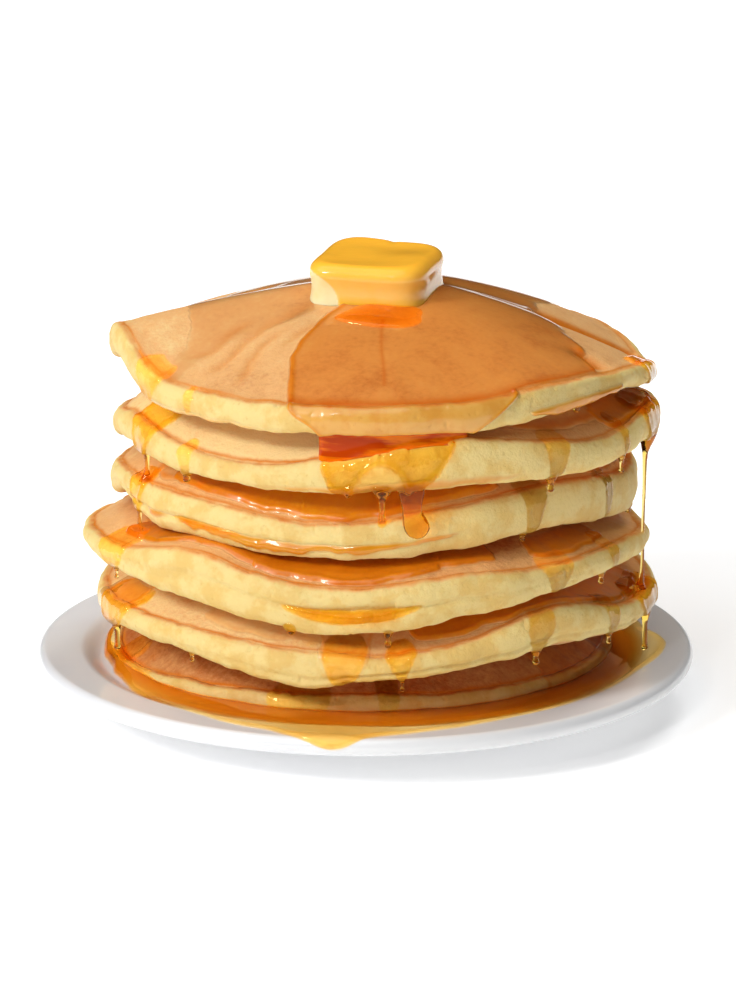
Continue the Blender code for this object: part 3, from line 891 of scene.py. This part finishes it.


# Hanging strings and drops under pancake_5, listed one by one: x, y, height, half width, half depth.
bigDrop = [(12.8, -79.6, 86.5, 4.2, 1.4), (13.2, -80.0, 84.3, 3.9, 1.3), (13.3, -80.2, 81.5, 3.2, 1.0),
           (13.5, -80.3, 78.8, 3.0, 1.0), (14.1, -80.1, 76.6, 3.5, 1.3), (14.7, -79.8, 74.4, 3.9, 1.5),
           (14.8, -79.6, 72.4, 3.3, 1.3), (14.8, -79.4, 70.9, 2.0, 0.9), (14.8, -79.2, 70.2, 0.1, 0.1)]
slimDrop = [(4.8, -79.6, 86.0, 3.4, 1.6), (4.8, -79.9, 84.0, 2.5, 1.5), (4.8, -79.9, 82.6, 1.3, 1.0),
            (4.8, -79.4, 80.6, 0.8, 0.7), (4.8, -78.6, 78.2, 0.8, 0.7), (4.8, -77.6, 76.2, 1.0, 1.0),
            (4.8, -76.8, 74.2, 1.4, 1.4), (4.8, -76.4, 72.6, 1.4, 1.4)]
rightString = [(84.6, -20.0, 91.0, 2.4, 2.4), (84.5, -20.0, 87.5, 2.8, 2.8),
               (84.1, -20.0, 84.5, 2.2, 2.2), (83.7, -20.0, 81.8, 1.3, 1.3),
               (83.5, -20.0, 79.0, 0.8, 0.8), (83.4, -20.0, 70.0, 0.6, 0.6),
               (83.2, -20.0, 58.0, 0.55, 0.55), (83.2, -20.0, 47.0, 0.6, 0.6),
               (83.0, -20.0, 42.0, 0.8, 0.8), (82.6, -20.0, 39.2, 1.4, 1.4),
               (82.4, -20.0, 37.6, 2.4, 2.2)]
leftString = [(-64.8, -34.4, 88.0, 1.9, 1.6), (-64.7, -34.4, 85.6, 1.5, 1.2),
              (-64.6, -34.4, 83.4, 0.9, 0.9), (-64.6, -34.4, 80.5, 0.75, 0.75),
              (-64.7, -34.4, 78.2, 0.9, 0.9), (-64.8, -34.6, 76.6, 1.6, 1.4),
              (-65.0, -34.8, 75.2, 2.4, 2.0)]
cakes[4]["strings"] = [bigDrop, slimDrop, rightString, leftString]

print("syrup on the pancakes")
syrupBodies = {}
for number, cake in enumerate(cakes):
    parts = flowParts(number)
    parts += [nubPart(number, *nub) for nub in cake["nubs"]]
    parts += [tube(points) for points in cake.get("strings", [])]
    if cake is topCake:
        parts.append(domePuddle())
    name = "syrup_on_" + cake["node"]
    syrupBodies[name] = blended(gridMesh(name, *parts), bodies["grain"], bodies["rounds"])
    print(name, len(syrupBodies[name].polygons), "faces")


def pancakeFinish(name, amberColour, amberFull):
    # crumb on the side, baked crust, an orange line where they meet, and a film of amber over all; the
    # line's orange and the crust's brown also paint shade in the top crust's folds
    finish = Finish(name)
    crustShare = finish.attribute("crust")
    edge = finish.attribute("edge")
    film = finish.attribute("film")
    toast = finish.attribute("toast")
    patch = finish.speckle(120, 4, 0.6)
    fine = finish.speckle(620, 3, 0.6)
    # The crust goes from cream through tan to brown with its toast, which blotches and specks shift.
    blotch = finish.speckle(38, 3, 0.55)
    baked = toast + (blotch - 0.5) * 0.7 + (patch - 0.5) * 0.55 + (fine - 0.5) * 0.5
    tan = finish.colourMix(baked.step(0.0, 0.5), rgb(243, 214, 150), rgb(232, 175, 112))
    tan = finish.colourMix(baked.step(0.45, 1.15), tan, rgb(182, 94, 30))
    crumb = finish.colourMix(patch.step(0.42, 0.62), rgb(228, 202, 132), rgb(222, 186, 108))
    crumb = finish.colourMix(fine.step(0.60, 0.75) * 0.35, crumb, rgb(200, 160, 76))
    colour = finish.colourMix(crustShare, crumb, tan)
    # The line's orange also paints the shade in the top crust's folds.
    colour = finish.colourMix(edge, colour, rgb(214, 120, 8))
    amber = finish.colourMix(film.step(0.02, amberFull), rgb(255, 255, 255), amberColour)
    colour = finish.colourMix(1.0, colour, amber, "MULTIPLY")
    wet = film.step(0.03, 0.22)
    finish.set(Base_Color=colour, Roughness=0.62 - wet * 0.3, Coat_Weight=wet,
               Coat_Roughness=0.05, Coat_IOR=1.32, Specular_IOR_Level=0.35,
               Subsurface_Weight=0.25, Subsurface_Radius=(1.0, 0.6, 0.3), Subsurface_Scale=0.0025)
    height = (finish.speckle(900, 3, 0.6) + patch * 0.5) * (1 - wet)
    finish.bump(height, 0.0005, 0.6)
    return finish.material


def chinaFinish():
    # cool white under a clear glaze, very faintly mottled
    finish = Finish("white_china")
    shade = finish.speckle(30, 2, 0.5)
    colour = finish.colourMix(shade.step(0.3, 0.7), rgb(229, 230, 233), rgb(234, 235, 236))
    roughness = 0.28 + finish.speckle(80, 2, 0.5) * 0.08
    finish.set(Base_Color=colour, Roughness=roughness, Coat_Weight=0.6, Coat_Roughness=0.05)
    finish.bump(finish.speckle(60, 2, 0.5), 0.0004, 0.15)
    return finish.material


def syrupFinish(name, kept, density):
    # clear syrup: what it keeps of each colour and its density set its amber, and light that falls
    # through it is only tinted
    finish = Finish(name)
    finish.set(Base_Color=rgb(255, 240, 205), Roughness=0.02, IOR=1.47, Transmission_Weight=1.0,
               Specular_IOR_Level=0.35, Specular_Tint=rgb(255, 214, 160))
    isShadow = finish.node("ShaderNodeLightPath")["Is Shadow Ray"]
    tinted = finish.node("ShaderNodeBsdfTransparent", {}, {"Color": rgb(255, 240, 200)})["BSDF"]
    clear = finish.shader.outputs["BSDF"]
    surface = finish.node("ShaderNodeMixShader", {}, {0: isShadow, 1: clear, 2: tinted})[0]
    inside = finish.node("ShaderNodeVolumeAbsorption", {}, {"Color": kept, "Density": density})[0]
    output = finish.tree.nodes["Material Output"]
    feed(finish.tree, output.inputs["Surface"], surface)
    feed(finish.tree, output.inputs["Volume"], inside)
    return finish.material


def butterFinish():
    # cream where it is bare, yellow under its film of syrup, with a little light of its own on top: a
    # painted orange glow
    finish = Finish("soft_butter")
    film = finish.attribute("film")
    mottle = finish.speckle(150, 3, 0.5)
    cream = finish.colourMix(mottle.step(0.4, 0.7), rgb(240, 227, 176), rgb(236, 218, 158))
    colour = finish.colourMix(film.step(0.0, 0.6), cream, rgb(255, 188, 56))
    # Painted light: the covered top glows a little orange.
    paintedGlow = finish.colourMix(finish.attribute("paintedGlow"), rgb(0, 0, 0), rgb(255, 158, 40))
    wet = film.step(0.03, 0.22)
    finish.set(Base_Color=colour, Roughness=0.42 - wet * 0.25, Coat_Weight=wet * 0.7,
               Coat_Roughness=0.03, Coat_IOR=1.33, Specular_IOR_Level=0.15,
               Emission_Color=paintedGlow, Emission_Strength=0.2,
               Subsurface_Weight=0.35, Subsurface_Radius=(1.0, 0.7, 0.3), Subsurface_Scale=0.004)
    finish.bump(finish.speckle(260, 3, 0.5), 0.0004, 0.25)
    return finish.material


def deepSyrupFinish():
    # too deep to see through: orange with bright wavy streaks, and painted shade, dark along its upper edge
    # under the pancake above
    finish = Finish("deep_syrup")
    level = finish.attribute("level")
    streaks = finish.speckle(1.0, 3, 0.5, stretch=(70, 70, 420))
    colour = finish.colourMix(streaks.step(0.42, 0.62), rgb(186, 62, 2), rgb(230, 118, 6))
    # Painted shade: dark along the upper edge, under the top pancake's overhang.
    colour = finish.colourMix((1 - level.step(0.0, 0.09)) * 0.8, colour, rgb(110, 34, 14))
    finish.set(Base_Color=colour, Roughness=0.2, Coat_Weight=0.4, Coat_Roughness=0.02, Coat_IOR=1.25,
               Specular_IOR_Level=0.1, Subsurface_Weight=0.3, Subsurface_Radius=(1.0, 0.4, 0.1),
               Subsurface_Scale=0.003)
    return finish.material


syrup = syrupFinish("amber_syrup", (0.95, 0.83, 0.12, 1), 1000.0)
poolSyrup = syrupFinish("pool_syrup", (0.962, 0.79, 0.25, 1), 870.0)
china = chinaFinish()
skin = {
    "line": -0.35,  # the way down of the orange line round the crust
    "lineWidth": 0.5,  # its width on the side, on the crust and what syrup adds on the top pancake
    "crustLineWidth": 0.6,
    "wetLineWidth": 1.8,
    "amber": (rgb(240, 180, 30), 0.6),  # colour of the film and the depth at which it is full
    "topAmber": (rgb(246, 188, 76), 0.9),
}


def skinValues(cake, shape):
    # four numbers at each point: 1 on crust and 0 on crumb, strength of the orange line, depth of the film
    # and how brown the crust is; the line and the brown also carry painted shade in the top crust's folds
    topmost = cake is topCake
    x, y, z = (shape["grid"][..., axis] for axis in range(3))
    down = shape["way"] + layers(x, y, z, 3.4, cake["seed"] + 20) * 0.22
    crustShare = np.maximum(1 - smooth(down, -0.3, 0.7), smooth(down, 9.6, 11.0))
    wet = smooth(shape["film"], 0.1, 0.4)
    wide = skin["crustLineWidth"] + skin["wetLineWidth"] * wet * topmost
    wide = np.where(down < skin["line"], wide, skin["lineWidth"])
    edge = hump(down, skin["line"], wide) * (0.82 + 0.25 * noise(x, y, z, 9, cake["seed"] + 21))
    edge = edge * (1 - 0.5 * wet * (not topmost))
    # Painted shade: the folds of the top crust take the line's orange; the thread is the syrup's own
    # colour.
    edge = np.maximum(edge, np.maximum(0.5 * shape["thread"], 0.42 * shape["fold"]))
    toast = cake["toast"] + 0 * x
    for direction, width, amount in cake["pale"]:
        toast = toast - amount * bell(shape["turn"], direction, width) * smooth(shape["part"], 0.6, 0.9)
    toast = toast + cake["innerToast"] * (1 - smooth(shape["way"], -13, -5))
    # Painted shade: the deep slot is browner.
    toast = toast + 0.4 * np.clip(shape["fold"] - 0.9, 0, 1)
    return {"crust": crustShare, "edge": edge, "film": shape["film"], "toast": toast}


print("pancake skins")
for number, cake in enumerate(cakes):
    shape = cakeGrid(number)
    cakeDetail(number, shape)
    name = cake["node"] + "_surface"
    made = gridMesh(name, gridParts(shape["grid"]), attributes=skinValues(cake, shape))
    crustFinish = pancakeFinish(cake["node"] + "_crust", *skin["topAmber" if cake is topCake else "amber"])
    addPiece(name, made, crustFinish, "pancake_crumb", cake["node"])

print("plate")
plateHigh = nodeBox("plate")[1]
plate = {
    "radius": plateHigh[0],
    "height": plateHigh[2],
    "lip": 5.2,  # its height, and half its width
    "lipHalf": 2.4,
    "rimInner": 87.5,  # where the rim begins, and the height of the glaze there
    "rimInnerHeight": 15.5,
    "well": 80.0,  # the flat part's radius and the height of its glaze
    "wellHeight": 12.5,
    "wellThickness": 5.0,
    "foot": 60.0,
    "footWidth": 5.0,
    "footRound": 0.8,
    "turnSteps": 360,
}


def arc(centreX, centreZ, radiusX, radiusZ, start, end, steps):
    # part of an ellipse, from one angle to another
    angle = np.radians(np.linspace(start, end, steps))
    return np.stack([centreX + radiusX * np.cos(angle), centreZ + radiusZ * np.sin(angle)], -1)


def plateTop(radius):
    # height of the glaze: flat well, a soft rise, then a rim that climbs gently
    climb = plate["rimInnerHeight"] - plate["wellHeight"]
    rise = smooth(radius, plate["well"], plate["rimInner"]) * climb
    rimWidth = plate["radius"] - plate["lipHalf"] - plate["rimInner"]
    rim = np.clip((radius - plate["rimInner"]) / rimWidth, 0, 1)
    return plate["wellHeight"] + rise + rim * (plate["height"] - plate["rimInnerHeight"])


def plateSection():
    # the section from the middle of the glaze, out round the lip and back in under the foot
    lipReach = plate["radius"] - plate["lipHalf"]
    lipMiddle = plate["height"] - plate["lip"] / 2
    wellBottom = plate["wellHeight"] - plate["wellThickness"]
    out = np.concatenate([np.linspace(0, 76, 12), np.linspace(78, lipReach, 34)])
    top = np.stack([out, plateTop(out)], -1)
    lip = arc(lipReach, lipMiddle, plate["lipHalf"], plate["lip"] / 2, 90, -90, 18)[1:]
    footTop = wellBottom - 1
    inner = plate["foot"] - plate["footWidth"]
    under = softCurve([(lipReach, lipMiddle - plate["lip"] / 2),
                       (plate["rimInner"], plate["height"] - plate["lip"] - 0.9),
                       (plate["well"] - 4, wellBottom), (plate["foot"] + 1.5, footTop)], 8)[1:]
    corner = plate["footRound"]
    foot = np.concatenate([arc(plate["foot"] - corner, corner, corner, corner, 0, -90, 5),
                           arc(inner + corner, corner, corner, corner, -90, -180, 5),
                           [[inner - 1, footTop], [30, footTop + 0.3], [0, footTop + 0.5]]])
    return np.concatenate([top, lip, under, foot])


def makePlate():
    # the section turned about the upright axis
    angle = np.radians(np.arange(plate["turnSteps"]) * fullTurn / plate["turnSteps"])
    radius, height = plateProfile[:, :1], plateProfile[:, 1:]
    height = np.broadcast_to(height, (len(plateProfile), len(angle)))
    grid = np.stack([radius * np.cos(angle), radius * np.sin(angle), height], -1)
    return gridMesh("plate_glazed", gridParts(grid))


plateProfile = plateSection()
addPiece("plate_glazed", makePlate(), china, "white_china", "plate")


print("syrup pool")
pool = {
    "level": nodeBox("syrup_pool")[1][2],
    # direction and distance of the border, along the plate's profile
    "border": [(0, 93), (5, 92), (12, 88), (40, 88), (90, 86), (130, 88), (160, 82), (187, 78.8),
               (199, 79.2), (210, 81.5), (228, 87), (241, 91.5), (250, 93.5), (256, 98.5), (260, 101.5),
               (263.5, 103.5), (267, 101), (271, 96.5), (282, 92), (301, 88), (324, 87), (343, 88),
               (352, 91), (360, 93)],
    "inset": 2.5,  # how far it starts inside the lowest pancake
    "film": 0.45,  # depth on the rim, and what the border and the spill in front add
    "borderRise": 0.3,
    "spillRise": 0.5,
    "climb": 0.9,  # how far it climbs up the pancake
    "sunk": 0.12,
    "back": 0.5,  # how far its underside lies in the plate
    "turnSteps": 840,
    "rows": 70,
    "underStep": 3,  # one row of the underside for this many on top
}


def makePool():
    # a ring: its top runs from inside the pancake's side out to a rounded border, its underside
    # lies just under the glaze; the way out follows the plate's profile over the rim and down
    turn = np.arange(pool["turnSteps"]) * fullTurn / pool["turnSteps"]
    angle = np.radians(turn)
    lowest = cakes[0]
    inner = outline(lowest, turn) - pool["inset"]
    startX = lowest["centre"][0] + inner * np.cos(angle)
    startY = lowest["centre"][1] + inner * np.sin(angle)
    start = np.hypot(startX, startY)
    begin = np.degrees(np.arctan2(startY, startX))
    reach = np.interp(begin % fullTurn, *np.transpose(pool["border"]))
    reach = sum(np.roll(reach, shift) for shift in range(-5, 6)) / 11  # takes the corners off
    reach = reach + noise(80 * np.cos(angle), 80 * np.sin(angle), 0 * angle, 6, 79) * 0.35
    share = np.linspace(0, 1, pool["rows"])[:, None] ** 0.8
    far = mix(start, reach, share)
    along = np.concatenate([[0], np.cumsum(np.hypot(*np.diff(plateProfile, axis=0).T))])
    radius, bed = (np.interp(far, along, column) for column in plateProfile.T)
    slope = np.stack([np.interp(far + 0.5, along, column) - np.interp(far - 0.5, along, column)
                      for column in plateProfile.T])
    outR, outZ = -slope[1] / np.hypot(*slope), slope[0] / np.hypot(*slope)
    turned = np.radians(begin + apart(turn, begin) * share)
    border = reach - far
    ripple = noise(radius * np.cos(turned), radius * np.sin(turned), 0 * radius, 16, 78) * 0.08
    film = pool["film"] + ripple + pool["borderRise"] * hump(border, 1.4, 1.0)
    film = film + pool["spillRise"] * bell(begin, 263, 8)
    film = np.where(radius < 97, np.maximum(film, pool["level"] - bed), film)
    film = film + pool["climb"] * np.exp(-(far - start) / 2.0) * (far < 96)
    film = film * (1 - 0.6 * bell(begin, 198, 17) * smooth(far - start, 3, 9))  # shallow on the left
    film = film * bevel(border, 1.4) - pool["sunk"]
    sheets = []
    for lift in (film, -pool["back"]):
        out = radius + outR * lift
        sheets.append(np.stack([out * np.cos(turned), out * np.sin(turned), bed + outZ * lift], -1))
    grid = np.concatenate([sheets[0], sheets[1][::-pool["underStep"]]])
    return gridMesh("syrup_pool_surface", gridParts(grid, (False, False), True))


addPiece("syrup_pool_surface", makePool(), poolSyrup, "amber_syrup", "syrup_pool")
addPiece("syrup_crevice", creviceBar(), deepSyrupFinish(), "amber_syrup")
for name, body in syrupBodies.items():
    addPiece(name, body, syrup, "amber_syrup")


print("butter")
butter = {
    "size": (35.5, 37.0),
    "centre": (3.3, -7.5),
    "top": nodeBox("butter")[1][2] - 0.6,
    "lean": 0.045,  # how much the top rises for each millimetre towards the back
    "yaw": -15,
    "squareness": 5.0,  # 2 is round, more is squarer
    "topRound": 3.4,  # radius of the edge round the top
    "waist": 0.03,  # share by which the side is drawn in halfway down
    "turnSteps": 240,
    "topRows": 16,
    "roundRows": 11,
    "sideRows": 16,
    "underRows": 11,
}


def makeButter():
    # rounded-square rings from the middle of the top, over the edge, down the side and in beneath;
    # a ring is the circle of a power above 2
    turn = np.radians(np.arange(butter["turnSteps"]) * fullTurn / butter["turnSteps"])
    halfX, halfY = butter["size"][0] / 2, butter["size"][1] / 2
    power = butter["squareness"]
    squarish = (np.abs(np.cos(turn)) ** power + np.abs(np.sin(turn)) ** power) ** (-1 / power)
    topRows, roundRows = butter["topRows"], butter["roundRows"]
    sideRows, underRows = butter["sideRows"], butter["underRows"]
    over = np.radians(np.linspace(0, 90, roundRows + 1)[1:])
    outwards, inwards = np.linspace(0, 1, topRows), np.linspace(1, 0, underRows + 1)[1:]
    share = np.concatenate([outwards, np.ones(roundRows + sideRows), inwards])
    inset = np.concatenate([np.ones(topRows), 1 - np.sin(over), np.zeros(sideRows + underRows)])
    fall = np.concatenate([np.zeros(topRows), 1 - np.cos(over), np.ones(sideRows + underRows)])
    level = np.concatenate([np.ones(topRows + roundRows), np.linspace(1, 0, sideRows + 1)[1:],
                            np.zeros(underRows)])
    share, inset, fall, level = (item[:, None] for item in (share, inset, fall, level))
    inset = inset * butter["topRound"]
    flatX = share * (halfX - inset) * squarish * np.cos(turn)
    flatY = share * (halfY - inset) * squarish * np.sin(turn)
    waist = 1 - butter["waist"] * np.sin(np.clip(1 - level, 0, 1) * math.pi)
    yaw = math.radians(butter["yaw"])
    x = butter["centre"][0] + (flatX * math.cos(yaw) - flatY * math.sin(yaw)) * waist
    y = butter["centre"][1] + (flatX * math.sin(yaw) + flatY * math.cos(yaw)) * waist
    # The top leans, is rounded at its edge and has a dip and a small notch at the back.
    dip = 0.5 * hump(flatX, 1, 9) * hump(flatY, 9, 9) * (level > 0.99)
    notch = 0.35 * hump(flatX, 1, 1.6) * hump(flatY, 17, 3.0)
    top = butter["top"] + butter["lean"] * (y - butter["centre"][1]) - fall * butter["topRound"]
    top = top - dip - notch + noise(x, y, 0 * x, 14, 31) * 0.5
    z = mix(dome(x, y) - 0.1, top, level)
    grid = np.stack([x, y, z], -1)
    # Syrup covers the top, and the side but for the left part of the front.
    covered = x - mix(-8.6, -13.6, level**3) + (1 - fall) * 7 + noise(x, y, z, 6, 32) * 0.5
    covered = bevel(np.maximum(covered, y - butter["centre"][1] - 2), 1.2)
    film = 0.44 + 0.14 * (1 - fall) + 0.14 * (1 - smooth(level, 0, 0.35))
    film = film * covered * (level > 0)
    grid = grid + normals(grid) * (film * 0.8)[..., None]
    # Painted light: the glow covers the top where syrup lies, fading over the rounded edge.
    values = {"film": film, "paintedGlow": (1 - fall) * covered}
    return gridMesh("butter_pat", gridParts(grid), attributes=values)


addPiece("butter_pat", makeButter(), butterFinish(), "soft_butter", "butter")


print("studio")
scene = bpy.context.scene
floorHalf = 6  # metres
floorCorners = [(x * floorHalf, y * floorHalf, 0) for x, y in ((-1, -1), (1, -1), (1, 1), (-1, 1))]
floorMesh = bpy.data.meshes.new("floor")
floorMesh.from_pydata(floorCorners, [], [(0, 1, 2, 3)])
floor = bpy.data.objects.new("floor", floorMesh)
scene.collection.objects.link(floor)
floorFinish = Finish("pale_floor")
floorFinish.set(Base_Color=rgb(251, 251, 251), Roughness=0.9, Specular_IOR_Level=0.1,
                Emission_Color=(1, 1, 1, 1), Emission_Strength=0.27)
floorMesh.materials.append(floorFinish.material)
floor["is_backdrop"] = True

world = bpy.data.worlds.new("soft_room")
scene.world = world
world.use_nodes = True
# The room is brighter overhead and in front than behind, so that wet tops keep their colour.
roomTree = world.node_tree
facing = addNode(roomTree, "ShaderNodeTexCoord", {}, {})["Generated"]
facing = addNode(roomTree, "ShaderNodeSeparateXYZ", {}, {0: facing})
frontness = Value(roomTree, facing["Z"]) * 0.8 - Value(roomTree, facing["Y"])
roomLight = frontness.step(-0.7, 0.9) * 0.42 + 0.10
feed(roomTree, roomTree.nodes["Background"].inputs["Strength"], roomLight)


def aimed(name, lamp, place, aim=(0, 0, 0.07)):
    # a light at a place, turned towards the stack
    light = bpy.data.objects.new(name, lamp)
    scene.collection.objects.link(light)
    light.location = place
    light.rotation_euler = (Vector(aim) - Vector(place)).to_track_quat("-Z", "Y").to_euler()
    return light


# name, place and size in metres, power in watts, whether it shows in gloss
softboxes = [("key", (-2.2, -1.6, 1.9), (0.65, 0.65), 50.0, True),
             ("strip", (-0.75, -2.0, 1.6), (0.26, 0.12), 7.0, True),
             ("rim", (0.8, 1.7, 1.7), (0.9, 0.9), 24.0, False),
             ("fill", (-0.9, -2.6, 0.5), (1.6, 0.8), 7.0, False)]
for name, place, size, power, shiny in softboxes:
    lamp = bpy.data.lights.new(name, "AREA")
    lamp.shape = "RECTANGLE"
    lamp.size, lamp.size_y = size
    lamp.energy = power
    aimed(name, lamp, place).visible_glossy = shiny
overhead = bpy.data.lights.new("overhead", "SUN")
overhead.energy = 1.6
overhead.angle = math.radians(70)
aimed("overhead", overhead, (-0.8, -0.4, 1.9))

# distance and aim in metres, rise in degrees, focal length in millimetres
lens = {"distance": 1.5, "rise": 15.3, "aim": (0.00076, 0, 0.061), "focal": 178.78}
cameraData = bpy.data.cameras.new("camera")
cameraData.lens = lens["focal"]
camera = bpy.data.objects.new("camera", cameraData)
scene.collection.objects.link(camera)
rise = math.radians(lens["rise"])
back = Vector((0, -math.cos(rise), math.sin(rise)))
camera.location = Vector(lens["aim"]) + back * lens["distance"]
camera.rotation_euler = (-back).to_track_quat("-Z", "Y").to_euler()
cameraData.clip_start, cameraData.clip_end = 0.01, 50
scene.camera = camera
scene.view_settings.view_transform = "Standard"
scene.cycles.use_denoising = True

bpy.context.view_layer.update()
low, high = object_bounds()
